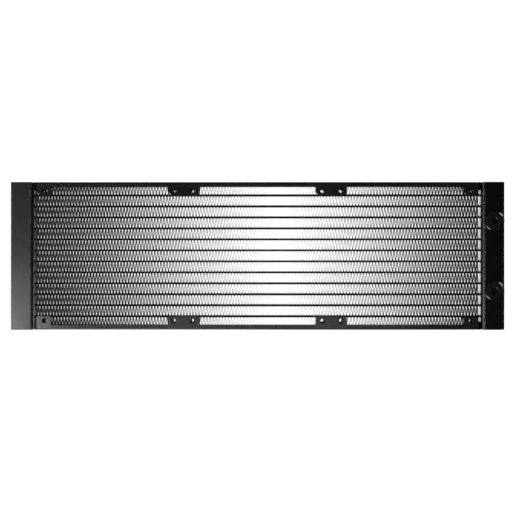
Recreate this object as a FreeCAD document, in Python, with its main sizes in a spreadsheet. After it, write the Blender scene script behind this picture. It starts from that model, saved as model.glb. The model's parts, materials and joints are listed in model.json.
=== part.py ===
import FreeCAD, Part
import math
import os

# A slim three-fan liquid cooling radiator, standing on its long edge.
# X runs along the length, Z is up, Y is the depth.  The ports face -Y.
# The origin is at the middle of the base of the whole part.  The port bosses stand
# proud of the front only, so the mid-plane of the core lies a little behind it.
# All lengths are millimetres.

V = FreeCAD.Vector
doc = FreeCAD.newDocument("radiator")
sheet = doc.addObject("Spreadsheet::Sheet", "Dimensions")


class Dim(object):
    """A number together with the spreadsheet expression that gives it."""

    def __init__(self, value, text):
        self.value = float(value)
        self.text = text

    def _pair(self, other):
        if isinstance(other, Dim):
            return other
        return Dim(other, repr(float(other)))

    def __add__(self, other):
        o = self._pair(other)
        return Dim(self.value + o.value, "(%s + %s)" % (self.text, o.text))

    def __radd__(self, other):
        return self._pair(other) + self

    def __sub__(self, other):
        o = self._pair(other)
        return Dim(self.value - o.value, "(%s - %s)" % (self.text, o.text))

    def __rsub__(self, other):
        return self._pair(other) - self

    def __mul__(self, other):
        o = self._pair(other)
        return Dim(self.value * o.value, "(%s * %s)" % (self.text, o.text))

    def __rmul__(self, other):
        return self._pair(other) * self

    def __truediv__(self, other):
        o = self._pair(other)
        return Dim(self.value / o.value, "(%s / %s)" % (self.text, o.text))

    def __neg__(self):
        return Dim(-self.value, "(0 - %s)" % self.text)


_row = [0]


def cell(alias, value, note):
    _row[0] += 1
    sheet.set("A%d" % _row[0], note)
    sheet.set("B%d" % _row[0], str(value))
    sheet.setAlias("B%d" % _row[0], alias)
    return Dim(value, "Dimensions." + alias)


# ---- driving dimensions --------------------------------------------------
half_length = cell("half_length", 200.0, "half of the overall length")
height = cell("overall_height", 120.0, "overall height")
half_depth = cell("half_depth", 13.5, "half of the overall thickness")

tank_width = cell("tank_width", 16.0, "end tank, size along the length")
tank_wall = cell("tank_wall", 1.6, "end tank wall")
tank_edge = cell("tank_edge_radius", 0.6, "end tank outer edge radius")
tank_seam = cell("tank_seam_radius", 0.4, "end tank edge radius at the seam")

rim_width = cell("rim_width", 1.2, "header rim, depth of its hollow side")
rim_lip = cell("rim_lip", 0.4, "header rim, solid side towards the core")
rim_edge = cell("rim_edge_radius", 0.2, "header rim edge radius")
rim_curl = cell("rim_curl", 1.3, "header rim radius facing the core, front and back")
plate_thick = cell("plate_thickness", 1.6, "header plate thickness")
plate_inset = cell("plate_inset", 0.45, "header plate below the rim, top and bottom")
plate_back = cell("plate_recess", 3.6, "header plate behind the rim, front and back")

tube_count = 12
tube_pitch = cell("tube_pitch", 8.95, "tube pitch")
tube_thick = cell("tube_thickness", 1.6, "flat tube, size along Z")
tube_depth = cell("tube_depth", 18.0, "flat tube, size along Y")
tube_wall = cell("tube_wall", 0.3, "flat tube wall")
tube_web = cell("tube_web", 0.4, "web between the two tube channels")
tube_stub = cell("tube_stub", 0.8, "tube end standing past the header plate")

fin_waves = cell("fin_waves", 144, "full waves in one fin strip")
fin_pitch = cell("fin_pitch", 2.4993, "length of one fin wave")
fin_sheet = cell("fin_sheet", 0.15, "fin sheet thickness")
fin_crest = cell("fin_crest", 0.30, "flat on a fin crest")

chan_sheet = cell("channel_sheet", 1.2, "side channel sheet thickness")
chan_drop = cell("channel_drop", 0.15, "side channel edge below the tank edge")
chan_lip = cell("channel_lip", 3.5, "height of the narrow flange")
chan_bend = cell("channel_bend", 1.0, "outer bend radius")
chan_end = cell("channel_flange_end", 179.1, "end of the flange from the middle")
chan_notch = cell("channel_notch", 3.2, "depth of the notch past the flange end")
chan_shoulder = cell("channel_shoulder", 9.8, "start of the sunken web from the mid-plane")
gusset_drop = cell("gusset_reach", 6.3, "end gusset, reach from the outer edge")
gusset_length = cell("gusset_length", 5.0, "end gusset, size along the length")
gusset_sheet = cell("gusset_sheet", 1.2, "end gusset thickness")
tab_reach = cell("tab_reach", 10.9, "screw tab, reach from the tank edge")
tab_margin = cell("tab_margin", 5.0, "screw tab, edge past its hole")
tab_corner = cell("tab_chamfer", 3.0, "screw tab, chamfered corner")
tab_round = cell("tab_round", 1.2, "screw tab, small rounded corner")
bead_width = cell("bead_width", 0.8, "pressed groove width, top channel")
bead_slim = cell("bead_slim", 0.45, "pressed groove width, bottom channel")
bead_depth = cell("bead_depth", 0.35, "pressed groove depth")
bead_height = cell("bead_height", 57.35, "pressed groove from the middle line, top channel")
bead_lower = cell("bead_lower", 57.8, "pressed groove from the middle line, bottom channel")
lip_lean = cell("lip_lean", 0.12, "top channel, flange edge leaning in")
lip_tall = cell("lip_lean_height", 0.8, "top channel, height of the leaning flange edge")

fan_size = cell("fan_size", 120.0, "fan frame size")
fan_holes = cell("fan_hole_spacing", 105.0, "fan screw hole spacing")
screw_dia = cell("screw_hole", 2.84, "wall diameter of the fan screw holes")
sink_dia = cell("screw_mouth", 4.6, "dished mouth of each screw hole")
sink_deep = cell("screw_mouth_depth", 0.46, "depth of the dished mouth")
collar_dia = cell("collar_diameter", 5.2, "pressed collar behind each hole")
collar_tall = cell("collar_height", 1.3, "height of the pressed collar")

port_half = cell("port_half_spacing", 28.25, "port centre from the middle line")
boss_dia = cell("boss_diameter", 16.0, "port boss")
boss_proud = cell("boss_proud", 1.5, "port boss above the tank face")
boss_edge = cell("boss_chamfer", 0.45, "port boss edge chamfer")
neck_dia = cell("neck_diameter", 14.3, "boss neck through the tank wall")
neck_deep = cell("neck_depth", 6.5, "boss neck below the tank face")
bore_dia = cell("port_bore", 13.26, "port bore, thread taken as a plain wall")
seat_dia = cell("seat_diameter", 13.9, "smooth seat for the O-ring")
seat_deep = cell("seat_depth", 1.9, "depth of the seat below the boss face")
mouth = cell("mouth_chamfer", 0.4, "chamfer at the boss mouth")

plug_sink = cell("plug_sink", 0.25, "plug face below the boss face")
plug_dia = cell("plug_diameter", 13.14, "plug thread, taken as a plain wall")
plug_long = cell("plug_length", 6.6, "plug length")
land_dia = cell("plug_land", 12.7, "land above the O-ring groove")
land_tall = cell("plug_land_height", 0.45, "land thickness")
land_edge = cell("plug_land_chamfer", 0.25, "chamfer on the land")
groove_dia = cell("plug_groove", 11.2, "O-ring groove root")
groove_tall = cell("plug_groove_width", 1.2, "O-ring groove width")
socket_af = cell("socket_flats", 5.0, "hex socket across flats")
socket_deep = cell("socket_depth", 3.6, "hex socket depth")
socket_mouth = cell("socket_mouth", 0.35, "chamfer at the socket mouth")
ring_cord = cell("ring_cord", 1.1, "O-ring cord diameter")
ring_gap = cell("ring_gap", 0.03, "O-ring clearance on the groove root")

divider_thick = cell("divider_thickness", 1.5, "divider plate thickness")

doc.recompute()

# ---- derived dimensions --------------------------------------------------
half_height = height / 2
tank_in = half_length - tank_width
plate_out = tank_in - rim_width
core_half = plate_out - plate_thick
tube_half = plate_out + tube_stub
chan_top = half_height - chan_drop
fin_tall = tube_pitch - tube_thick
web_low = tube_pitch * 5.5 + tube_thick / 2 + fin_tall
port_x = half_length - tank_width / 2
mid_plane = boss_proud / 2


# ---- helpers -------------------------------------------------------------
def axis_plane(body, role):
    for f in body.Origin.OriginFeatures:
        if f.Role == role:
            return f
    raise RuntimeError("no plane " + role)


def new_body(label, x=None, z=None, turn=None):
    y = mid_plane
    body = doc.addObject("PartDesign::Body", label)
    body.Label = label
    rot = FreeCAD.Rotation(V(0, 1, 0), turn) if turn else FreeCAD.Rotation()
    body.Placement = FreeCAD.Placement(
        V(x.value if x else 0, y.value if y else 0, z.value if z else 0), rot)
    for axis, d in (("x", x), ("y", y), ("z", z)):
        if d is not None:
            body.setExpression("Placement.Base." + axis, d.text)
    return body


def new_sketch(body, name, role, offset=None):
    sk = body.newObject("Sketcher::SketchObject", name)
    sk.AttachmentSupport = [(axis_plane(body, role), "")]
    sk.MapMode = "FlatFace"
    if offset is not None:
        sk.AttachmentOffset = FreeCAD.Placement(V(0, 0, offset.value),
                                                FreeCAD.Rotation())
        sk.setExpression("AttachmentOffset.Base.z", offset.text)
    return sk


def as_dim(a):
    return a if isinstance(a, Dim) else Dim(a, repr(float(a)))


import Sketcher


def bind(sk, kind, geo, pos, d):
    """Hold one coordinate of a sketch point at a spreadsheet value."""
    d = as_dim(d)
    if abs(d.value) < 1e-9:
        if kind == "DistanceX":
            sk.addConstraint(Sketcher.Constraint("PointOnObject", geo, pos, -2))
        else:
            sk.addConstraint(Sketcher.Constraint("PointOnObject", geo, pos, -1))
        return
    i = sk.addConstraint(Sketcher.Constraint(kind, -1, 1, geo, pos, d.value))
    sk.setExpression("Constraints[%d]" % i, d.text)


def polygon(sk, points):
    """A closed straight-sided outline whose corners follow the sheet."""
    pts = [(as_dim(a), as_dim(b)) for a, b in points]
    n = len(pts)
    first = sk.GeometryCount
    for i in range(n):
        a, b = pts[i], pts[(i + 1) % n]
        sk.addGeometry(Part.LineSegment(V(a[0].value, a[1].value, 0),
                                        V(b[0].value, b[1].value, 0)), False)
    for i in range(n):
        sk.addConstraint(Sketcher.Constraint("Coincident", first + i, 2,
                                             first + (i + 1) % n, 1))
    for i in range(n):
        bind(sk, "DistanceX", first + i, 1, pts[i][0])
        bind(sk, "DistanceY", first + i, 1, pts[i][1])


def box_outline(sk, left, right, low, high):
    polygon(sk, [(left, low), (right, low), (right, high), (left, high)])


def circle(sk, cx, cy, dia):
    cx, cy, dia = as_dim(cx), as_dim(cy), as_dim(dia)
    g = sk.addGeometry(Part.Circle(V(cx.value, cy.value, 0), V(0, 0, 1),
                                   dia.value / 2), False)
    bind(sk, "DistanceX", g, 3, cx)
    bind(sk, "DistanceY", g, 3, cy)
    i = sk.addConstraint(Sketcher.Constraint("Diameter", g, dia.value))
    sk.setExpression("Constraints[%d]" % i, dia.text)


def flat_oval(sk, wide, tall, cy=0.0):
    """Stadium outline: straight sides, half-round ends, centred on x = 0."""
    r = tall / 2
    a = wide / 2 - r
    cy = as_dim(cy)
    z0, z1 = cy.value - r.value, cy.value + r.value
    g = sk.GeometryCount
    sk.addGeometry(Part.LineSegment(V(-a.value, z1, 0), V(a.value, z1, 0)), False)
    sk.addGeometry(Part.LineSegment(V(a.value, z0, 0), V(-a.value, z0, 0)), False)
    c = Part.Circle(V(a.value, cy.value, 0), V(0, 0, 1), r.value)
    sk.addGeometry(Part.ArcOfCircle(c, -math.pi / 2, math.pi / 2), False)
    c = Part.Circle(V(-a.value, cy.value, 0), V(0, 0, 1), r.value)
    sk.addGeometry(Part.ArcOfCircle(c, math.pi / 2, 3 * math.pi / 2), False)
    sk.addConstraint(Sketcher.Constraint("Tangent", g, 2, g + 2, 2))
    sk.addConstraint(Sketcher.Constraint("Tangent", g + 1, 1, g + 2, 1))
    sk.addConstraint(Sketcher.Constraint("Tangent", g + 1, 2, g + 3, 2))
    sk.addConstraint(Sketcher.Constraint("Tangent", g, 1, g + 3, 1))
    sk.addConstraint(Sketcher.Constraint("Horizontal", g))
    sk.addConstraint(Sketcher.Constraint("Horizontal", g + 1))
    bind(sk, "DistanceX", g + 2, 3, a)
    bind(sk, "DistanceX", g + 3, 3, -a)
    bind(sk, "DistanceY", g + 2, 3, cy)
    i = sk.addConstraint(Sketcher.Constraint("Radius", g + 2, r.value))
    sk.setExpression("Constraints[%d]" % i, r.text)


def pad(body, sk, name, length, midplane=False, reverse=False):
    f = body.newObject("PartDesign::Pad", name)
    f.Profile = sk
    f.Length = length.value
    f.setExpression("Length", length.text)
    if midplane:
        f.SideType = "Symmetric"
    f.Reversed = reverse
    sk.Visibility = False
    doc.recompute()
    return f


def pocket(body, sk, name, length=None, reverse=False, narrowing=None):
    """Cut a sketch; with narrowing, the cut is that much smaller at its floor."""
    before = body.Shape.Volume
    f = body.newObject("PartDesign::Pocket", name)
    f.Profile = sk
    if length is None:
        f.Type = "ThroughAll"
    else:
        f.Length = length.value
        f.setExpression("Length", length.text)
    if narrowing is not None:
        f.TaperAngle = -math.degrees(math.atan(narrowing.value / length.value))
        f.setExpression("TaperAngle", "-atan((%s) / (%s))" % (narrowing.text, length.text))
    f.Reversed = reverse
    doc.recompute()
    if not f.Shape.Volume < before - 1e-6:
        raise RuntimeError("pocket removes nothing: %s %s" % (body.Label, name))
    return f


def edges_where(shape, test):
    names = []
    for i, e in enumerate(shape.Edges, 1):
        if test(e):
            names.append("Edge%d" % i)
    return names


def fillet(body, base, name, names, radius, kind="PartDesign::Fillet"):
    if not names:
        raise RuntimeError("no edges for " + name)
    f = body.newObject(kind, name)
    f.Base = (base, names)
    if kind.endswith("Fillet"):
        f.Radius = radius.value
        f.setExpression("Radius", radius.text)
    else:
        f.Size = radius.value
        f.setExpression("Size", radius.text)
    doc.recompute()
    if f.Shape.isNull() or "Invalid" in f.State:
        raise RuntimeError("%s failed on %d edges" % (name, len(names)))
    return f


def along(e, direction):
    if e.Curve.TypeId != "Part::GeomLine":
        return False
    d = e.Vertexes[-1].Point - e.Vertexes[0].Point
    if d.Length < 1e-6:
        return False
    return abs(abs(d.dot(direction)) / d.Length - 1) < 1e-6


def mid(e):
    return e.CenterOfMass


nodes = []


def keep(obj):
    nodes.append(obj)
    return obj


# ---- flat tubes ----------------------------------------------------------
# Folded flat tubes with two channels; their ends stand past the header plates.
def make_tube(number):
    z = half_height + tube_pitch * (number - 6.5)
    body = new_body("flat_tube_%02d" % number, z=z)
    sk = new_sketch(body, "tube_section_%02d" % number, "YZ_Plane")
    flat_oval(sk, tube_depth, tube_thick)
    inner = tube_thick / 2 - tube_wall
    side = tube_depth / 2 - tube_thick / 2
    box_outline(sk, tube_web / 2, side, -inner, inner)
    box_outline(sk, -side, -(tube_web / 2), -inner, inner)
    pad(body, sk, "tube_pad_%02d" % number, tube_half * 2, midplane=True)
    return keep(body)


for k in range(1, tube_count + 1):
    make_tube(k)


# ---- fin strips ----------------------------------------------------------
# One zig-zag sheet fills each gap.  Crests have a small flat that is brazed to
# the tube above or below.
def fin_shape():
    n = int(round(fin_waves.value))
    p = fin_pitch.value
    t = fin_sheet.value
    f = fin_crest.value
    h = fin_tall.value / 2.0
    run = p / 2.0 - f
    rise = 2 * h - t
    slope = math.hypot(run, rise)
    # horizontal shift between the two faces of a sloping wall of thickness t
    shift = t * slope / rise
    upper, lower = [], []
    x = -core_half.value
    # the strip starts half way along a top crest on the left header plate and
    # ends one wave short of the right one
    upper.append((x, h))
    lower.append((x, h - t))
    for i in range(n):
        x0 = x + i * p
        # down wall
        upper.append((x0 + f / 2, h))
        a = x0 + p / 2
        # valley: outer face is the lower line, inner face is the upper line
        half_inner = max(f / 2 - (shift - t * run / rise), 0.02)
        lower.append((x0 + half_inner, h - t))
        lower.append((a - f / 2, -h))
        lower.append((a + f / 2, -h))
        upper.append((a - half_inner, -h + t))
        upper.append((a + half_inner, -h + t))
        lower.append((x0 + p - half_inner, h - t))
        upper.append((x0 + p - f / 2, h))
    upper.append((x + n * p, h))
    lower.append((x + n * p, h - t))
    y = -tube_depth.value / 2
    pts = [V(a, y, b) for a, b in upper] + [V(a, y, b) for a, b in reversed(lower)]
    clean = [pts[0]]
    for q in pts[1:]:
        if (q - clean[-1]).Length > 1e-6:
            clean.append(q)
    wire = Part.makePolygon(clean + [clean[0]])
    face = Part.Face(wire)
    return face.extrude(V(0, tube_depth.value, 0))


fin_master = fin_shape()
for k in range(1, tube_count + 2):
    f = doc.addObject("Part::Feature", "fin_strip_%02d" % k)
    f.Label = "fin_strip_%02d" % k
    f.Shape = fin_master.copy()
    z = half_height + tube_pitch * (k - 7)
    f.Placement = FreeCAD.Placement(V(0, mid_plane.value, z.value),
                                    FreeCAD.Rotation())
    f.setExpression("Placement.Base.y", mid_plane.text)
    f.setExpression("Placement.Base.z", z.text)
    keep(f)


# ---- header plates -------------------------------------------------------
# A plate with twelve slots, and a wider hollow rim that the tank is brazed to.
def make_header(label, side):
    body = new_body(label, z=half_height)
    hd, hh = half_depth.value, half_height.value
    xc = (plate_out - rim_lip).value
    sk = new_sketch(body, label + "_rim", "YZ_Plane", tank_in * side)
    box_outline(sk, -half_depth, half_depth, -half_height, half_height)
    rim = pad(body, sk, label + "_rim_pad", rim_width + rim_lip, reverse=side > 0)

    def core_side(e):
        c = mid(e)
        return (along(e, V(0, 0, 1)) and abs(abs(c.y) - hd) < 1e-6
                and abs(abs(c.x) - xc) < 1e-6)

    rim = fillet(body, rim, label + "_rim_curl",
                 edges_where(rim.Shape, core_side), rim_curl)

    def outline(e):
        c = mid(e)
        if abs(abs(c.z) - hh) < 1e-6:
            return True
        return (along(e, V(0, 0, 1)) and abs(abs(c.y) - hd) < 1e-6
                and abs(abs(c.x) - tank_in.value) < 1e-6)

    fillet(body, rim, label + "_rim_round", edges_where(rim.Shape, outline), rim_edge)
    sk = new_sketch(body, label + "_hollow", "YZ_Plane", tank_in * side)
    w = half_depth - tank_wall
    v = half_height - tank_wall
    box_outline(sk, -w, w, -v, v)
    pocket(body, sk, label + "_hollow_cut", rim_width, reverse=side < 0)
    sk = new_sketch(body, label + "_plate", "YZ_Plane", core_half * side)
    w = half_depth - plate_back
    v = half_height - plate_inset
    box_outline(sk, -w, w, -v, v)
    pad(body, sk, label + "_plate_pad", plate_thick, reverse=side < 0)
    sk = new_sketch(body, label + "_slot", "YZ_Plane", plate_out * side)
    flat_oval(sk, tube_depth, tube_thick, tube_pitch * -5.5)
    cut = pocket(body, sk, label + "_slot_cut", plate_thick, reverse=side < 0)
    pat = body.newObject("PartDesign::LinearPattern", label + "_slots")
    pat.Originals = [cut]
    pat.Direction = (sk, ["V_Axis"])
    pat.Length = (tube_pitch * 11).value
    pat.setExpression("Length", (tube_pitch * 11).text)
    pat.Occurrences = tube_count
    body.Tip = pat
    doc.recompute()
    return keep(body)


make_header("header_plate_left", -1)
make_header("header_plate_right", 1)


# ---- end tanks -----------------------------------------------------------
# A rounded box, open towards the header plate.
def make_tank(label, side, ports):
    body = new_body(label, z=half_height)
    sk = new_sketch(body, label + "_outline", "XY_Plane")
    if side > 0:
        box_outline(sk, tank_in, half_length, -half_depth, half_depth)
    else:
        box_outline(sk, -half_length, -tank_in, -half_depth, half_depth)
    block = pad(body, sk, label + "_block", height, midplane=True)
    xo, xi = half_length.value, tank_in.value
    hd, hh = half_depth.value, half_height.value

    def outer_edges(e):
        c = mid(e)
        if abs(abs(c.x) - xo) < 1e-6:
            return True
        return along(e, V(1, 0, 0))

    f1 = fillet(body, block, label + "_round",
                edges_where(block.Shape, outer_edges), tank_edge)

    def seam_edges(e):
        c = mid(e)
        return abs(abs(c.x) - xi) < 1e-6 and e.BoundBox.XLength < 1e-6

    f2 = fillet(body, f1, label + "_seam",
                edges_where(f1.Shape, seam_edges), tank_seam)
    sk = new_sketch(body, label + "_cavity", "YZ_Plane", tank_in * side)
    w = half_depth - tank_wall
    v = half_height - tank_wall
    box_outline(sk, -w, w, -v, v)
    pocket(body, sk, label + "_cavity_cut", tank_width - tank_wall,
           reverse=side > 0)
    if ports:
        sk = new_sketch(body, label + "_ports", "XZ_Plane", half_depth)
        circle(sk, port_x, port_half, neck_dia)
        circle(sk, port_x, -port_half, neck_dia)
        pocket(body, sk, label + "_port_cut", neck_deep)
    return keep(body)


make_tank("end_tank_left", -1, False)
make_tank("end_tank_right", 1, True)

# the divider plate makes the coolant go along six tubes and back along six
div = doc.addObject("Part::Box", "tank_divider")
div.Label = "tank_divider"
for prop, d in (("Length", tank_width + rim_width - tank_wall),
                ("Width", (half_depth - tank_wall) * 2),
                ("Height", divider_thick)):
    setattr(div, prop, d.value)
    div.setExpression(prop, d.text)
for axis, d in (("x", plate_out), ("y", mid_plane - (half_depth - tank_wall)),
                ("z", half_height - divider_thick / 2)):
    div.setExpression("Placement.Base." + axis, d.text)
keep(div)
doc.recompute()


# ---- side channels -------------------------------------------------------
# Folded sheet along the top and the bottom: a sunken web on the outer fin strip,
# a flange front and back, and tabs with the fan screw holes.
def make_channel(label, turn, chamfered):
    body = new_body(label, z=half_height, turn=turn)
    t = chan_sheet
    s = chan_shoulder
    top = chan_top
    low = chan_top - chan_lip
    sk = new_sketch(body, label + "_section", "YZ_Plane")
    d = half_depth
    step = top - web_low - t
    inner = [(-(d - t), low), (-(d - t), top - t),
             (-(s + t * 0.6), top - t), (-(s - t * 0.4), web_low),
             (s - t * 0.4, web_low), (s + t * 0.6, top - t),
             (d - t, top - t), (d - t, low)]
    outer = [(d, top), (s, top), (s - step, web_low + t),
             (-(s - step), web_low + t), (-s, top), (-d, top)]
    if chamfered:
        polygon(sk, [(-d, low + lip_tall), (-(d - lip_lean), low)] + inner
                + [(d - lip_lean, low), (d, low + lip_tall)] + outer)
    else:
        polygon(sk, [(-d, low)] + inner + [(d, low)] + outer)
    base = pad(body, sk, label + "_sheet", core_half * 2, midplane=True)
    dv, tv = half_depth.value, top.value

    def bend(e):
        c = mid(e)
        return (along(e, V(1, 0, 0)) and abs(abs(c.y) - dv) < 1e-6
                and abs(c.z - tv) < 1e-6)

    last = fillet(body, base, label + "_bend", edges_where(base.Shape, bend), chan_bend)
    # the flanges stop short of the header plates, the web does not
    sk = new_sketch(body, label + "_ends", "XY_Plane", top)
    e0, e1 = chan_end, core_half + 1
    y0, y1 = half_depth - chan_notch, half_depth + 1
    for sx in (1, -1):
        for sy in (1, -1):
            polygon(sk, [(e0 * sx, y0 * sy), (e1 * sx, y0 * sy),
                         (e1 * sx, y1 * sy), (e0 * sx, y1 * sy)])
    pocket(body, sk, label + "_end_cut", chan_lip + 2)
    # gussets that close the corners beside the outer fin strip
    sk = new_sketch(body, label + "_gussets", "XZ_Plane", tube_depth / 2 + gusset_sheet)
    gl = core_half - gusset_length
    gz = half_height - gusset_drop
    box_outline(sk, gl, core_half, gz, web_low + t / 2)
    box_outline(sk, -core_half, -gl, gz, web_low + t / 2)
    g1 = pad(body, sk, label + "_gusset_pad", gusset_sheet, reverse=True)
    # front tabs
    sk = new_sketch(body, label + "_tabs", "XZ_Plane", half_depth)
    hz = fan_holes / 2
    tz = half_height - tab_reach
    c, r = tab_corner, tab_round
    centres = []
    for i in (-1, 0, 1):
        for j in (-0.5, 0.5):
            centres.append(fan_size * i + fan_holes * j)
    spans = [(-chan_end, centres[0] + tab_margin),
             (centres[1] - tab_margin, centres[2] + tab_margin),
             (centres[3] - tab_margin, centres[4] + tab_margin),
             (centres[5] - tab_margin, chan_end)]
    for left, right in spans:
        if chamfered:
            polygon(sk, [(left, low + 0.6), (left, tz + c), (left + c, tz),
                         (right, tz), (right, low + 0.6)])
        else:
            polygon(sk, [(left, low + 0.6), (left, tz + r), (left + r * 0.3, tz + r * 0.3),
                         (left + r, tz), (right - r, tz), (right - r * 0.3, tz + r * 0.3),
                         (right, tz + r), (right, low + 0.6)])
    tabs = pad(body, sk, label + "_tab_pad", chan_sheet, reverse=True)
    # collars pressed out behind the tabs
    sk = new_sketch(body, label + "_collars", "XZ_Plane", half_depth - chan_sheet)
    for x in centres:
        circle(sk, x, hz, collar_dia)
    collars = pad(body, sk, label + "_collar_pad", collar_tall, reverse=True)
    # dished mouths of the screw holes, then the holes
    sk = new_sketch(body, label + "_mouths", "XZ_Plane", half_depth)
    for x in centres:
        circle(sk, x, hz, sink_dia)
    mouths = pocket(body, sk, label + "_mouth_cut", sink_deep,
                    narrowing=(sink_dia - screw_dia) / 2)
    sk = new_sketch(body, label + "_holes", "XZ_Plane", half_depth)
    for x in centres:
        circle(sk, x, hz, screw_dia)
    holes = pocket(body, sk, label + "_hole_cut", chan_sheet + collar_tall)

    # pressed groove along the narrow parts of the flange
    sk = new_sketch(body, label + "_bead", "XZ_Plane", half_depth)
    m = 0.8
    wide, high = (bead_width, bead_height) if chamfered else (bead_slim, bead_lower)
    for a, b in ((spans[0][1], spans[1][0]), (spans[1][1], spans[2][0]),
                 (spans[2][1], spans[3][0])):
        box_outline(sk, a + m, b - m, high - wide / 2, high + wide / 2)
    bead = pocket(body, sk, label + "_bead_cut", bead_depth, narrowing=wide * 0.4)
    # the same on the back
    mir = body.newObject("PartDesign::Mirrored", label + "_back")
    mir.Originals = [g1, tabs, collars, mouths, holes, bead]
    mir.MirrorPlane = (axis_plane(body, "XZ_Plane"), [""])
    body.Tip = mir
    doc.recompute()
    rim = [e for e in mir.Shape.Edges if e.Curve.TypeId == "Part::GeomCircle"
           and abs(e.Curve.Radius - screw_dia.value / 2) < 1e-6
           and abs(abs(e.Curve.Center.y) - (half_depth - sink_deep).value) < 1e-4]
    if len(rim) < 12:
        raise RuntimeError("screw hole rims: %d" % len(rim))
    return keep(body)


make_channel("side_channel_top", 0, True)
make_channel("side_channel_bottom", 180, False)


# ---- ports ---------------------------------------------------------------
# A turned boss, a flush stop plug with a hex socket, and the plug's O-ring.
def turned(body, name, points):
    """Turn an outline given as (radius, position along Y) about the Y axis."""
    sk = new_sketch(body, name + "_outline", "XY_Plane")
    polygon(sk, points)
    f = body.newObject("PartDesign::Revolution", name + "_turned")
    f.Profile = sk
    f.ReferenceAxis = (sk, ["V_Axis"])
    f.Angle = 360
    doc.recompute()
    return f


def make_boss(label, z):
    body = new_body(label, x=port_x, z=z)
    face = -(half_depth + boss_proud)
    skin = -half_depth
    back = neck_deep - half_depth
    c = boss_edge
    turned(body, label, [
        (bore_dia / 2, back), (bore_dia / 2, face + seat_deep),
        (seat_dia / 2, face + seat_deep), (seat_dia / 2, face + mouth),
        (seat_dia / 2 + mouth, face), (boss_dia / 2 - c, face),
        (boss_dia / 2, face + c), (boss_dia / 2, skin),
        (neck_dia / 2, skin), (neck_dia / 2, back)])
    return keep(body)


def make_plug(label, z):
    body = new_body(label, x=port_x, z=z)
    face = plug_sink - half_depth - boss_proud
    g0 = face + land_tall
    g1 = g0 + groove_tall
    end = face + plug_long
    c = land_edge
    base = turned(body, label, [
        (0.0, face), (land_dia / 2 - c, face), (land_dia / 2, face + c),
        (land_dia / 2, g0), (groove_dia / 2, g0), (groove_dia / 2, g1),
        (plug_dia / 2, g1), (plug_dia / 2, end - 0.6),
        (plug_dia / 2 - 0.6, end), (0.0, end)])
    # conical lead-in and hex socket
    sk = new_sketch(body, label + "_socket", "XZ_Plane", -face)
    r = socket_af / math.sqrt(3.0)
    polygon(sk, [(r * math.cos(math.radians(a)), r * math.sin(math.radians(a)))
                 for a in (90, 150, 210, 270, 330, 30)])
    pocket(body, sk, label + "_socket_cut", socket_deep)
    sk = new_sketch(body, label + "_lead_in", "XY_Plane")
    m = socket_mouth
    q = socket_af / 2 + m
    polygon(sk, [(0.0, face - 0.2), (q + 0.2, face - 0.2), (q - m, face + m),
                 (0.0, face + m)])
    before = body.Shape.Volume
    g = body.newObject("PartDesign::Groove", label + "_lead_cut")
    g.Profile = sk
    g.ReferenceAxis = (sk, ["V_Axis"])
    g.Angle = 360
    doc.recompute()
    if not g.Shape.Volume < before - 1e-6:
        raise RuntimeError("lead-in removes nothing")
    return keep(body)


def make_ring(label, z):
    ring = doc.addObject("Part::Torus", label)
    ring.Label = label
    r2 = ring_cord / 2
    r1 = groove_dia / 2 + ring_gap + r2
    y = (mid_plane + plug_sink - half_depth - boss_proud + land_tall
         + groove_tall / 2)
    ring.Radius1 = r1.value
    ring.setExpression("Radius1", r1.text)
    ring.Radius2 = r2.value
    ring.setExpression("Radius2", r2.text)
    ring.Placement = FreeCAD.Placement(V(port_x.value, y.value, z.value),
                                       FreeCAD.Rotation(V(1, 0, 0), 90))
    ring.setExpression("Placement.Base.x", port_x.text)
    ring.setExpression("Placement.Base.y", y.text)
    ring.setExpression("Placement.Base.z", z.text)
    doc.recompute()
    return keep(ring)


for name, z in (("upper", half_height + port_half), ("lower", half_height - port_half)):
    make_boss("port_boss_" + name, z)
    make_plug("port_plug_" + name, z)
    make_ring("plug_oring_" + name, z)

doc.recompute()

# ---- checks and export ---------------------------------------------------
bad = []
for o in doc.Objects:
    state = [str(x) for x in o.State]
    if "Invalid" in state or "Error" in state:
        bad.append("%s: %s" % (o.Name, state))
for o in nodes:
    s = o.Shape
    if s.isNull() or not s.isValid() or s.Volume <= 0:
        bad.append("%s: shape" % o.Label)
    elif len(s.Solids) != 1:
        bad.append("%s: %d solids" % (o.Label, len(s.Solids)))
if bad:
    raise RuntimeError("failed objects:\n" + "\n".join(bad))

labels = [o.Label for o in nodes]
if len(set(labels)) != len(labels):
    raise RuntimeError("labels repeat")

os.makedirs("parts", exist_ok=True)
for o in nodes:
    o.Shape.exportStep("parts/%s.step" % o.Label)
    b = o.Shape.BoundBox
    print("%-22s %9.1f mm3  x %8.2f %8.2f  y %7.2f %7.2f  z %7.2f %7.2f  faces %d" % (
        o.Label, o.Shape.Volume, b.XMin, b.XMax, b.YMin, b.YMax, b.ZMin, b.ZMax,
        len(o.Shape.Faces)))
print("nodes:", len(nodes))
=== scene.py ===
import bpy
import bmesh
import json
import math
import random
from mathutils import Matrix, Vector, noise


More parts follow.
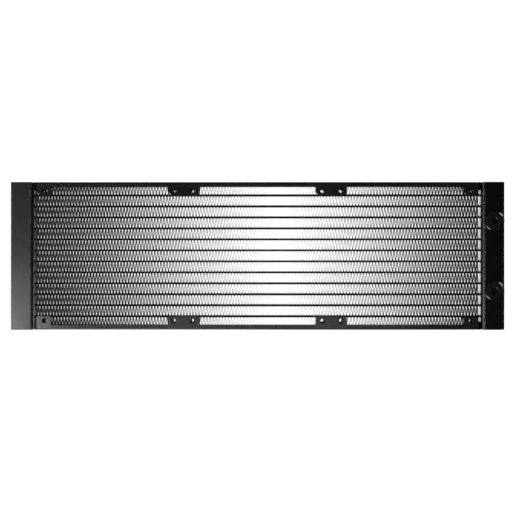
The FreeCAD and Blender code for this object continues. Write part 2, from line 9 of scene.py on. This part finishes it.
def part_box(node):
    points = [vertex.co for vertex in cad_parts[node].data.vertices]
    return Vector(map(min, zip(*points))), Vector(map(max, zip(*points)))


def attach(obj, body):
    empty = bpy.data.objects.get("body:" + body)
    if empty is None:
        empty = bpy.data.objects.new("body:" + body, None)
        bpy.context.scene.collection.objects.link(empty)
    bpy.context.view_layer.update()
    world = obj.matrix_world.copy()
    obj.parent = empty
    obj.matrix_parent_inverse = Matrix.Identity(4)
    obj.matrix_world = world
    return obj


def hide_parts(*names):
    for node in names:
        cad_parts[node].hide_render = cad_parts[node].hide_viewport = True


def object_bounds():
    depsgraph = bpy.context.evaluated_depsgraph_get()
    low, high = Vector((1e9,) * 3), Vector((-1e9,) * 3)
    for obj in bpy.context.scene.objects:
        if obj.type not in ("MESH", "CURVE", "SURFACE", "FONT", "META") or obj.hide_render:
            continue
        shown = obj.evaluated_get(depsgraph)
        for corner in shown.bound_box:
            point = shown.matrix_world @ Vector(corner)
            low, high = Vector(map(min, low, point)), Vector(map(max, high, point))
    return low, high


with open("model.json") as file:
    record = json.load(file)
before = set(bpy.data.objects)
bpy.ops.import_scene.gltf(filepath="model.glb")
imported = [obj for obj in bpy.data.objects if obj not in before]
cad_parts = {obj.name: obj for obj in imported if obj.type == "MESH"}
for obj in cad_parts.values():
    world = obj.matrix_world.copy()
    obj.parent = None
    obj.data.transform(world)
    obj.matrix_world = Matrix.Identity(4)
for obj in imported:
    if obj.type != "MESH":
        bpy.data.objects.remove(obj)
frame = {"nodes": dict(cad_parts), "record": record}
cad_lo, cad_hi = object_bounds()
nodes = frame["nodes"]
record = frame["record"]
scene = bpy.context.scene
MM = 0.001

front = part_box("side_channel_top")[0].y        # plane of the screw tabs
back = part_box("side_channel_top")[1].y
core_front, core_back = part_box("flat_tube_01")[0].y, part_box("flat_tube_01")[1].y
mid_y = (core_front + core_back) / 2
mid_z = (cad_lo.z + cad_hi.z) / 2
hole_z = (mid_z - 0.0525, mid_z + 0.0525)      # rows of screw holes

# ---------------------------------------------------------------- camera
cam_data = bpy.data.cameras.new("camera")
cam = bpy.data.objects.new("camera", cam_data)
scene.collection.objects.link(cam)
scene.camera = cam
CAM_DIST = 1.9
cam_data.sensor_width = 36.0
cam_data.lens = 36.0 * CAM_DIST / 0.4147
cam_data.clip_start, cam_data.clip_end = 0.05, 60
cam.location = (0.018, front - CAM_DIST, mid_z)
aim = Vector((-0.00108, front, mid_z - 0.00012))
cam.rotation_mode = "QUATERNION"
cam.rotation_quaternion = (aim - cam.location).to_track_quat("-Z", "Y")


# ---------------------------------------------------------------- node help
class Tree(object):
    def __init__(self, name):
        self.mat = bpy.data.materials.new(name)
        self.mat.use_nodes = True
        self.nt = self.mat.node_tree
        self.nt.nodes.clear()
        self.out = self.nt.nodes.new("ShaderNodeOutputMaterial")
        self.x = -200

    def node(self, kind, **props):
        n = self.nt.nodes.new(kind)
        for k, v in props.items():
            setattr(n, k, v)
        n.location = (self.x, 0)
        self.x -= 160
        return n

    def link(self, a, b):
        self.nt.links.new(a, b)

    def put(self, socket, value):
        if isinstance(value, bpy.types.NodeSocket):
            self.link(value, socket)
        else:
            socket.default_value = value

    def math(self, op, a, b=None, c=None, clamp=False):
        n = self.node("ShaderNodeMath", operation=op, use_clamp=clamp)
        for i, v in enumerate((a, b, c)):
            if v is not None:
                self.put(n.inputs[i], v)
        return n.outputs[0]

    def ramp(self, value, lo, hi, a=0.0, b=1.0, smooth=True):
        n = self.node("ShaderNodeMapRange",
                      interpolation_type="SMOOTHSTEP" if smooth else "LINEAR")
        self.put(n.inputs["Value"], value)
        n.inputs["From Min"].default_value = lo
        n.inputs["From Max"].default_value = hi
        n.inputs["To Min"].default_value = a
        n.inputs["To Max"].default_value = b
        return n.outputs["Result"]

    def coords(self):
        n = self.node("ShaderNodeTexCoord")
        return n.outputs["Object"]

    def split(self, vec):
        n = self.node("ShaderNodeSeparateXYZ")
        self.put(n.inputs[0], vec)
        return n.outputs

    def noise(self, vec, scale, detail=3.0, rough=0.5, stretch=None):
        if stretch:
            m = self.node("ShaderNodeMapping")
            self.put(m.inputs["Vector"], vec)
            m.inputs["Scale"].default_value = stretch
            vec = m.outputs[0]
        n = self.node("ShaderNodeTexNoise")
        self.put(n.inputs["Vector"], vec)
        n.inputs["Scale"].default_value = scale
        n.inputs["Detail"].default_value = detail
        n.inputs["Roughness"].default_value = rough
        return n.outputs["Fac"]

    def mix(self, fac, a, b):
        n = self.node("ShaderNodeMix", data_type="RGBA")
        self.put(n.inputs["Factor"], fac)
        for key, v in (("A", a), ("B", b)):
            sock = [s for s in n.inputs if s.name == key and s.type == "RGBA"][0]
            self.put(sock, tuple(v) + (1,) if isinstance(v, (tuple, list)) and len(v) == 3 else v)
        return [s for s in n.outputs if s.type == "RGBA"][0]

    def bump(self, height, strength, distance, normal=None):
        n = self.node("ShaderNodeBump")
        n.inputs["Strength"].default_value = strength
        n.inputs["Distance"].default_value = distance
        self.put(n.inputs["Height"], height)
        if normal is not None:
            self.put(n.inputs["Normal"], normal)
        return n.outputs[0]

    def principled(self, color, rough, metallic=0.0, normal=None, **const):
        n = self.node("ShaderNodeBsdfPrincipled")
        self.put(n.inputs["Base Color"], tuple(color) + (1,) if isinstance(color, (tuple, list)) else color)
        self.put(n.inputs["Roughness"], rough)
        self.put(n.inputs["Metallic"], metallic)
        if normal is not None:
            self.put(n.inputs["Normal"], normal)
        for k, v in const.items():
            n.inputs[k.replace("_", " ")].default_value = v
        return n

    def finish(self, shader):
        self.link(shader.outputs[0], self.out.inputs["Surface"])
        return self.mat


    def coat(self, cover, under, color):
        """A matte dark diffuse layer lying over another shader where cover is 1: dry spray on the fins and
        tubes, painted shade in the channels' screw holes and notches.
        """
        dry = self.node("ShaderNodeBsdfDiffuse")
        dry.inputs["Roughness"].default_value = 0.6
        self.put(dry.inputs["Color"], color)
        both = self.node("ShaderNodeMixShader")
        self.put(both.inputs[0], cover)
        self.link(under.outputs[0], both.inputs[1])
        self.link(dry.outputs[0], both.inputs[2])
        return both


# ---------------------------------------------------------------- materials
def black_paint(name, color=(0.0045, 0.0045, 0.0047), rough=0.21, peel=0.12,
                edge_box=None, dust=0.25, spec=0.16):
    """Satin black spray paint on aluminium: fine orange peel, uneven gloss, a
    little dust lying on the upward faces and paint thinned on the edges."""
    t = Tree(name)
    p = t.coords()
    big = t.noise(p, 38.0, 3.0, 0.55)
    fine = t.noise(p, 900.0, 2.0, 0.5)
    grit = t.noise(p, 3200.0, 2.0, 0.6)
    geo = t.node("ShaderNodeNewGeometry")
    nz = t.split(geo.outputs["Normal"])[2]
    up = t.ramp(nz, 0.55, 1.0)
    speck = t.ramp(t.noise(p, 1900.0, 3.0, 0.7), 0.60, 0.74)
    dusty = t.math("MULTIPLY", t.math("MULTIPLY", up, speck), dust)
    shade = t.ramp(big, 0.3, 0.7, 0.86, 1.14)
    c0 = tuple(c * 0.82 for c in color)
    c1 = tuple(min(1.0, c * 1.22) for c in color)
    col = t.mix(t.ramp(big, 0.3, 0.72), c0, c1)
    col = t.mix(dusty, col, (0.16, 0.155, 0.15))
    if edge_box is not None:
        # thin paint along the outer edges of a box-shaped part
        (x0, y0, z0), (x1, y1, z1) = edge_box
        s = t.split(p)
        near = []
        for axis, (a, b) in enumerate(((x0, x1), (y0, y1), (z0, z1))):
            c, h = (a + b) / 2, (b - a) / 2
            d = t.math("ABSOLUTE", t.math("SUBTRACT", s[axis], c))
            near.append(t.ramp(d, h - 0.0011, h - 0.0002))
        pair = t.math("MAXIMUM",
                      t.math("MAXIMUM", t.math("MULTIPLY", near[0], near[1]),
                             t.math("MULTIPLY", near[1], near[2])),
                      t.math("MULTIPLY", near[0], near[2]))
        rub = t.ramp(t.noise(p, 420.0, 4.0, 0.65), 0.52, 0.66)
        worn = t.math("MULTIPLY", t.math("MULTIPLY", pair, rub), 0.45)
        col = t.mix(worn, col, (0.12, 0.12, 0.122))
    ro = t.ramp(big, 0.25, 0.75, rough - 0.02, rough + 0.02)
    ro = t.math("ADD", ro, t.ramp(fine, 0.3, 0.7, -0.015, 0.015))
    ro = t.math("ADD", ro, t.math("MULTIPLY", dusty, 0.4))
    n1 = t.bump(fine, peel, 0.00006)
    n2 = t.bump(grit, peel * 0.6, 0.00002, n1)
    sh = t.principled(col, ro, 0.0, n2, Specular_IOR_Level=spec)
    return t.finish(sh)


def fin_material():
    """Rolled aluminium fin stock; black spray reaches several millimetres in
    from the front and thins out unevenly; the back edges got a light coat."""
    t = Tree("fin_sheet")
    p = t.coords()
    s = t.split(p)
    depth = t.math("SUBTRACT", s[1], core_front)
    rear = t.math("SUBTRACT", core_back, s[1])
    wave = t.noise(p, 260.0, 3.0, 0.6)
    slow = t.noise(p, 24.0, 2.0, 0.5)
    reach = t.math("ADD", t.math("MULTIPLY", wave, 0.0012),
                   t.math("MULTIPLY", slow, 0.0014))
    cover = t.ramp(t.math("SUBTRACT", depth, reach), 0.0104, 0.0116, 1.0, 0.0)
    cover = t.math("MAXIMUM", cover, t.ramp(rear, 0.0002, 0.0008, 1.0, 0.0))
    roll = t.noise(p, 60.0, 3.0, 0.6, stretch=(6.0, 90.0, 6.0))
    metal = t.mix(roll, (0.80, 0.805, 0.81), (0.90, 0.905, 0.91))
    nrm = t.bump(roll, 0.2, 0.00002)
    sheet = t.principled(metal, t.ramp(roll, 0.3, 0.7, 0.10, 0.17), 1.0, nrm)
    # the spray is mostly dry, with some gloss where it landed wet
    black = t.mix(wave, (0.004, 0.004, 0.0042), (0.009, 0.009, 0.0095))
    wet = t.principled(black, 0.30, 0.0, nrm, Specular_IOR_Level=0.12)
    both = t.node("ShaderNodeMixShader")
    t.put(both.inputs[0], cover)
    t.link(sheet.outputs[0], both.inputs[1])
    t.link(wet.outputs[0], both.inputs[2])
    return t.finish(t.coat(t.math("MULTIPLY", cover, 0.82), both, black))


def tube_material():
    t = Tree("tube_paint")
    p = t.coords()
    s = t.split(p)
    depth = t.math("SUBTRACT", (core_back - core_front) / 2,
                   t.math("ABSOLUTE", t.math("SUBTRACT", s[1], mid_y)))
    wave = t.noise(p, 180.0, 3.0, 0.6)
    cover = t.ramp(t.math("SUBTRACT", depth, t.math("MULTIPLY", wave, 0.006)),
                   0.0, 0.0025, 1.0, 0.0)
    flux = t.noise(p, 700.0, 4.0, 0.65)
    metal = t.mix(t.ramp(flux, 0.35, 0.7), (0.52, 0.525, 0.53), (0.74, 0.745, 0.75))
    sheet = t.principled(metal, t.ramp(flux, 0.3, 0.7, 0.34, 0.48), 1.0,
                         t.bump(flux, 0.3, 0.00004))
    return t.finish(t.coat(cover, sheet,
                           t.mix(t.noise(p, 90.0, 3.0, 0.6), (0.003, 0.003, 0.0032),
                                 (0.008, 0.008, 0.0082))))


def bare_material():
    t = Tree("brazed_sheet")
    p = t.coords()
    a = t.noise(p, 150.0, 4.0, 0.6)
    col = t.mix(a, (0.56, 0.56, 0.57), (0.76, 0.765, 0.77))
    return t.finish(t.principled(col, t.ramp(a, 0.3, 0.7, 0.35, 0.55), 1.0,
                                 t.bump(t.noise(p, 800.0, 3.0), 0.3, 0.00004)))


def rubber_material():
    t = Tree("ring_rubber")
    p = t.coords()
    a = t.noise(p, 900.0, 3.0, 0.6)
    col = t.mix(a, (0.010, 0.010, 0.010), (0.022, 0.022, 0.022))
    return t.finish(t.principled(col, t.ramp(a, 0.3, 0.7, 0.5, 0.68), 0.0,
                                 t.bump(a, 0.25, 0.00003), Specular_IOR_Level=0.35))


def plated_material():
    """Black-plated turned brass: half gloss, with fine turning marks."""
    t = Tree("plug_plating")
    p = t.coords()
    s = t.split(p)
    big = t.noise(p, 300.0, 3.0, 0.6)
    marks = t.noise(p, 1500.0, 2.0, 0.5)
    col = t.mix(big, (0.0022, 0.0022, 0.0023), (0.0048, 0.0048, 0.0050))
    ro = t.ramp(big, 0.3, 0.7, 0.15, 0.21)
    return t.finish(t.principled(col, ro, 0.0, t.bump(marks, 0.15, 0.00002),
                                 Specular_IOR_Level=0.2))


def header_material():
    """Painted rim; the plate between the tubes keeps its bare brazed surface
    except where spray reached in from the front and the back."""
    t = Tree("header_paint")
    p = t.coords()
    s = t.split(p)
    face = t.ramp(t.math("ABSOLUTE", s[0]), 0.18121, 0.18126, 1.0, 0.0)
    depth = t.math("SUBTRACT", (core_back - core_front) / 2,
                   t.math("ABSOLUTE", t.math("SUBTRACT", s[1], mid_y)))
    wave = t.noise(p, 220.0, 3.0, 0.6)
    inside = t.ramp(t.math("SUBTRACT", depth, t.math("MULTIPLY", wave, 0.0016)),
                    0.0002, 0.0014)
    bare = t.math("MULTIPLY", face, inside)
    big = t.noise(p, 38.0, 3.0, 0.55)
    fine = t.noise(p, 900.0, 2.0, 0.5)
    flux = t.noise(p, 600.0, 3.0, 0.6)
    paint = t.mix(t.ramp(big, 0.3, 0.72), (0.0033, 0.0033, 0.0034), (0.0050, 0.0050, 0.0052))
    metal = t.mix(flux, (0.70, 0.705, 0.71), (0.86, 0.865, 0.87))
    col = t.mix(bare, paint, metal)
    ro = t.math("ADD", t.ramp(big, 0.25, 0.75, 0.19, 0.23),
                t.math("MULTIPLY", bare, t.ramp(flux, 0.3, 0.7, 0.04, 0.14)))
    return t.finish(t.principled(col, ro, bare, t.bump(fine, 0.12, 0.00006),
                                 Specular_IOR_Level=0.16))


def channel_material():
    """The tank paint; the dished mouths and the bores of the screw holes, and the faces behind the notch
    past the flange ends, get a nearly black matte layer as painted shade."""
    t = Tree("channel_paint")
    p = t.coords()
    s = t.split(p)
    ax = t.math("ABSOLUTE", s[0])
    near = None
    for c in (0.0525, 0.0675, 0.1725):
        for zc in (hole_z[0], hole_z[1]):
            dx = t.math("SUBTRACT", ax, c)
            dz = t.math("SUBTRACT", s[2], zc)
            d = t.math("SQRT", t.math("ADD", t.math("MULTIPLY", dx, dx),
                                      t.math("MULTIPLY", dz, dz)))
            near = d if near is None else t.math("MINIMUM", near, d)
    # painted shade inside the mouth, but not on its bright outer lip
    painted_shade = t.ramp(near, 0.00190, 0.00205, 1.0, 0.0)
    # painted shade on the faces behind the notch past the flange ends
    deep = t.math("SUBTRACT", (back - front) / 2 - 0.0016,
                  t.math("ABSOLUTE", t.math("SUBTRACT", s[1], (back + front) / 2)))
    notch = t.math("MULTIPLY", t.ramp(ax, 0.17915, 0.17925), t.ramp(deep, 0.0, 0.0004))
    painted_shade = t.math("MAXIMUM", painted_shade, t.math("MULTIPLY", notch, 0.92))
    big = t.noise(p, 38.0, 3.0, 0.55)
    fine = t.noise(p, 900.0, 2.0, 0.5)
    grit = t.noise(p, 3200.0, 2.0, 0.6)
    geo = t.node("ShaderNodeNewGeometry")
    up = t.ramp(t.split(geo.outputs["Normal"])[2], 0.55, 1.0)
    speck = t.ramp(t.noise(p, 1900.0, 3.0, 0.7), 0.60, 0.74)
    dusty = t.math("MULTIPLY", t.math("MULTIPLY", up, speck), 0.25)
    col = t.mix(t.ramp(big, 0.3, 0.72), (0.0037, 0.0037, 0.0039), (0.0055, 0.0055, 0.0057))
    col = t.mix(dusty, col, (0.16, 0.155, 0.15))
    ro = t.math("ADD", t.ramp(big, 0.25, 0.75, 0.165, 0.195),
                t.ramp(fine, 0.3, 0.7, -0.015, 0.015))
    n2 = t.bump(grit, 0.10, 0.00002, t.bump(fine, 0.16, 0.00006))
    gloss = t.principled(col, ro, 0.0, n2, Specular_IOR_Level=0.17)
    # the nearly black matte layer laid over the gloss here is painted shade in the hole mouths, the bores
    # and behind the notch
    return t.finish(t.coat(painted_shade, gloss, t.mix(big, (0.0008, 0.0008, 0.0008),
                                              (0.0020, 0.0020, 0.0020))))


def node_box(name):
    a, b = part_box(name)
    return (tuple(a), tuple(b))


def give(obj, mat):
    obj.data.materials.clear()
    obj.data.materials.append(mat)


mats = {
    "left": black_paint("tank_paint_left", edge_box=node_box("end_tank_left")),
    # the right tank: the same satin black paint as the left, darkened and given a lower specular level as
    # painted shade
    "right": black_paint("tank_paint_right_painted_shade", (0.0018, 0.0018, 0.0019), rough=0.19,
                         edge_box=node_box("end_tank_right"), spec=0.13),
    "header": header_material(),
    "channel": channel_material(),
    "boss": black_paint("boss_paint", (0.004, 0.004, 0.0042), rough=0.17, peel=0.06, spec=0.16),
    "fin": fin_material(), "tube": tube_material(), "bare": bare_material(),
    "ring": rubber_material(), "plug": plated_material(),
}
for n, o in nodes.items():
    if n.startswith("flat_tube"):
        give(o, mats["tube"])
    elif n.startswith("fin_strip"):
        give(o, mats["fin"])
    elif n == "end_tank_left":
        give(o, mats["left"])
    elif n == "end_tank_right":
        give(o, mats["right"])
    elif n.startswith("header"):
        give(o, mats["header"])
    elif n.startswith("side_channel"):
        give(o, mats["channel"])
    elif n.startswith("port_boss"):
        give(o, mats["boss"])
    elif n.startswith("port_plug"):
        give(o, mats["plug"])
    elif n.startswith("plug_oring"):
        give(o, mats["ring"])
    else:
        give(o, mats["bare"])


# ---------------------------------------------------------------- mesh help
def new_object(name, bm, mat, body, slot, *replaced, smooth=None):
    me = bpy.data.meshes.new(name)
    bm.to_mesh(me)
    bm.free()
    ob = bpy.data.objects.new(name, me)
    scene.collection.objects.link(ob)
    me.materials.append(mat)
    if smooth is not None:
        me.polygons.foreach_set("use_smooth", [True] * len(me.polygons))
        me.set_sharp_from_angle(angle=math.radians(smooth))
    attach(ob, body)
    if replaced:
        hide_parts(*replaced)
    return ob


# ---------------------------------------------------------------- fins
WAVES = 144.5
SHEET = 0.00009          # sheet with its paint
CREST = 0.00030          # centreline radius of a crest


def fin_profile(x0, x1, z0, z1, rng, k):
    """Centreline of one strip as points in x and z, crest to crest."""
    h = (z1 - z0) / 2 - SHEET / 2
    zc = (z0 + z1) / 2
    p = (x1 - x0) / WAVES
    n = int(WAVES * 2)
    # crest centres, with the small unevenness of folded stock
    cx = []
    for i in range(n + 1):
        x = x0 + i * p / 2
        drift = noise.noise(Vector((x * 34.0, k * 7.3, 0.5))) * 0.00004
        cx.append(x + drift + rng.uniform(-0.000015, 0.000015))
    lo_lim, hi_lim = x0 + SHEET / 2, x1 - SHEET / 2
    cx[0], cx[-1] = x0 + SHEET / 2 + CREST, x1 - SHEET / 2 - CREST
    pts = []
    steps = 5
    for i in range(n + 1):
        top = i % 2 == 0
        sgn = 1.0 if top else -1.0
        czc = sgn * (h - CREST)
        # wall angle on each side of this crest, from the vertical
        def lean(j):
            dx = abs(cx[j] - cx[i])
            dz = 2 * (h - CREST)
            d = math.hypot(dx, dz)
            return math.atan2(dx, dz) - math.asin(min(1.0, 2 * CREST / d))
        a0 = math.pi - lean(i - 1) if i > 0 else math.pi
        a1 = lean(i + 1) if i < n else 0.0
        for s in range(steps + 1):
            a = a0 + (a1 - a0) * s / steps
            pts.append((cx[i] + CREST * math.cos(a),
                        zc + czc + sgn * CREST * math.sin(a)))
    return pts


def fin_strip(k):
    name = "fin_strip_%02d" % k
    lo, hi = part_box(name)
    rng = random.Random(400 + k)
    base = fin_profile(lo.x, hi.x + 0.00125, lo.z, hi.z, rng, k)
    ny = 3
    bm = bmesh.new()
    rows = []
    m = len(base)
    for j in range(ny + 1):
        y = lo.y + (hi.y - lo.y) * j / ny
        line = []
        for i in range(m):
            a = base[max(i - 1, 0)]
            b = base[min(i + 1, m - 1)]
            tx, tz = b[0] - a[0], b[1] - a[1]
            ln = math.hypot(tx, tz) or 1.0
            nx, nz = -tz / ln, tx / ln
            x, z = base[i]
            # a slight waviness of each wall along its depth
            w = noise.noise(Vector((x * 420.0, y * 160.0, k * 3.1))) * 0.00003
            mid = 1.0 - abs(2 * (z - lo.z) / (hi.z - lo.z) - 1.0)
            x = x + w * min(1.0, mid * 3)
            line.append((bm.verts.new((x + nx * SHEET / 2, y, z + nz * SHEET / 2)),
                         bm.verts.new((x - nx * SHEET / 2, y, z - nz * SHEET / 2))))
        rows.append(line)
    for j in range(ny):
        for i in range(m - 1):
            a, b, c, d = rows[j][i], rows[j][i + 1], rows[j + 1][i + 1], rows[j + 1][i]
            bm.faces.new((a[0], b[0], c[0], d[0]))
            bm.faces.new((d[1], c[1], b[1], a[1]))
    for i in range(m - 1):
        a, b = rows[0][i], rows[0][i + 1]
        bm.faces.new((a[1], b[1], b[0], a[0]))
        a, b = rows[ny][i], rows[ny][i + 1]
        bm.faces.new((a[0], b[0], b[1], a[1]))
    for j in range(ny):
        a, d = rows[j][0], rows[j + 1][0]
        bm.faces.new((a[0], d[0], d[1], a[1]))
        a, d = rows[j][m - 1], rows[j + 1][m - 1]
        bm.faces.new((a[1], d[1], d[0], a[0]))
    bmesh.ops.recalc_face_normals(bm, faces=bm.faces)
    return new_object("fins_%02d" % k, bm, mats["fin"], "root", "fin_aluminium", name,
                      smooth=40)


for k in range(1, 14):
    fin_strip(k)

# ---------------------------------------------------------------- stage
def plane(name, size, loc, mat):
    bm = bmesh.new()
    bmesh.ops.create_grid(bm, x_segments=1, y_segments=1, size=size)
    me = bpy.data.meshes.new(name)
    bm.to_mesh(me)
    bm.free()
    ob = bpy.data.objects.new(name, me)
    ob.location = loc
    me.materials.append(mat)
    scene.collection.objects.link(ob)
    return ob


ft = Tree("floor_pale")
fp = ft.coords()
fc = ft.mix(ft.noise(fp, 3.0, 2.0), (0.26, 0.26, 0.26), (0.30, 0.30, 0.30))
fs = ft.principled(fc, 0.8, 0.0, Specular_IOR_Level=0.1)
fs.inputs["Emission Color"].default_value = (1, 1, 1, 1)
fs.inputs["Emission Strength"].default_value = 0.97
floor = plane("floor", 2.2, (0, 0, cad_lo.z), ft.finish(fs))
floor.visible_glossy = False
floor.visible_shadow = False

world = bpy.data.worlds.new("world")
scene.world = world
world.use_nodes = True
wt = world.node_tree
wt.nodes.clear()


def wmath(op, a, b=None):
    n = wt.nodes.new("ShaderNodeMath")
    n.operation = op
    for i, v in enumerate((a, b)):
        if v is None:
            continue
        if isinstance(v, bpy.types.NodeSocket):
            wt.links.new(v, n.inputs[i])
        else:
            n.inputs[i].default_value = v
    return n.outputs[0]


# a lit paper screen behind the object: brightest near the middle, fading outwards
AZ, EL, AZ_W, EL_W, GLOW, RIM, REST = 0.0, 0.0, 0.03, 0.055, 0.40, 0.90, 0.03
wo = wt.nodes.new("ShaderNodeOutputWorld")
tc = wt.nodes.new("ShaderNodeTexCoord")
sp = wt.nodes.new("ShaderNodeSeparateXYZ")
wt.links.new(tc.outputs["Generated"], sp.inputs[0])
dy = wmath("MAXIMUM", sp.outputs[1], 0.02)
ax = wmath("DIVIDE", wmath("SUBTRACT", wmath("DIVIDE", sp.outputs[0], dy), AZ), AZ_W)
az = wmath("DIVIDE", wmath("SUBTRACT", wmath("DIVIDE", sp.outputs[2], dy), EL), EL_W)
r2 = wmath("ADD", wmath("MULTIPLY", ax, ax), wmath("MULTIPLY", az, az))
glow = wmath("MULTIPLY", wmath("POWER", 2.718282, wmath("MULTIPLY", r2, -0.5)), GLOW)
behind = wmath("MULTIPLY", wmath("MINIMUM", wmath("MAXIMUM", sp.outputs[1], 0.0), 1.0), RIM)
total = wmath("ADD", wmath("ADD", glow, behind), REST)
seen = wt.nodes.new("ShaderNodeBackground")
seen.inputs[0].default_value = (1, 1, 1, 1)
seen.inputs[1].default_value = 1.2
fill = wt.nodes.new("ShaderNodeBackground")
fill.inputs[0].default_value = (1, 1, 1, 1)
wt.links.new(total, fill.inputs[1])
mixw = wt.nodes.new("ShaderNodeMixShader")
lp = wt.nodes.new("ShaderNodeLightPath")
wt.links.new(lp.outputs["Is Camera Ray"], mixw.inputs[0])
wt.links.new(fill.outputs[0], mixw.inputs[1])
wt.links.new(seen.outputs[0], mixw.inputs[2])
wt.links.new(mixw.outputs[0], wo.inputs[0])


def area(name, loc, target, sx, sy, radiance, spread=180):
    d = bpy.data.lights.new(name, "AREA")
    d.shape = "RECTANGLE"
    d.size, d.size_y = sx, sy
    d.energy = radiance * sx * sy * math.pi
    d.spread = math.radians(spread)
    o = bpy.data.objects.new(name, d)
    o.location = loc
    o.rotation_mode = "QUATERNION"
    o.rotation_quaternion = (Vector(target) - Vector(loc)).to_track_quat("-Z", "Y")
    scene.collection.objects.link(o)
    return o


# long low softboxes at the front left, a weak one at the upper right
area("low_left", (-0.62, -0.75, -0.025), (-0.30, front, 0.03), 0.75, 0.07, 37.0)
area("low_mid", (-0.10, -0.95, -0.045), (0.0, front, 0.03), 0.55, 0.05, 9.0)
area("right_light", (0.86, 0.04, 0.66), (0.19, front, 0.06), 0.36, 0.36, 26.0)
area("under_left", (-0.10, -0.06, -0.30), (0.19, front, 0.06), 0.26, 0.26, 22.0)
area("rim_strip", (-1.10, -0.55, 0.06), (0.18, front, 0.06), 0.10, 0.60, 90.0)
area("top_light", (0.0, 0.9, 1.8), (0, 0, 0.0), 1.6, 1.2, 0.7)

scene.view_settings.view_transform = "Standard"
scene.cycles.filter_width = 1.65
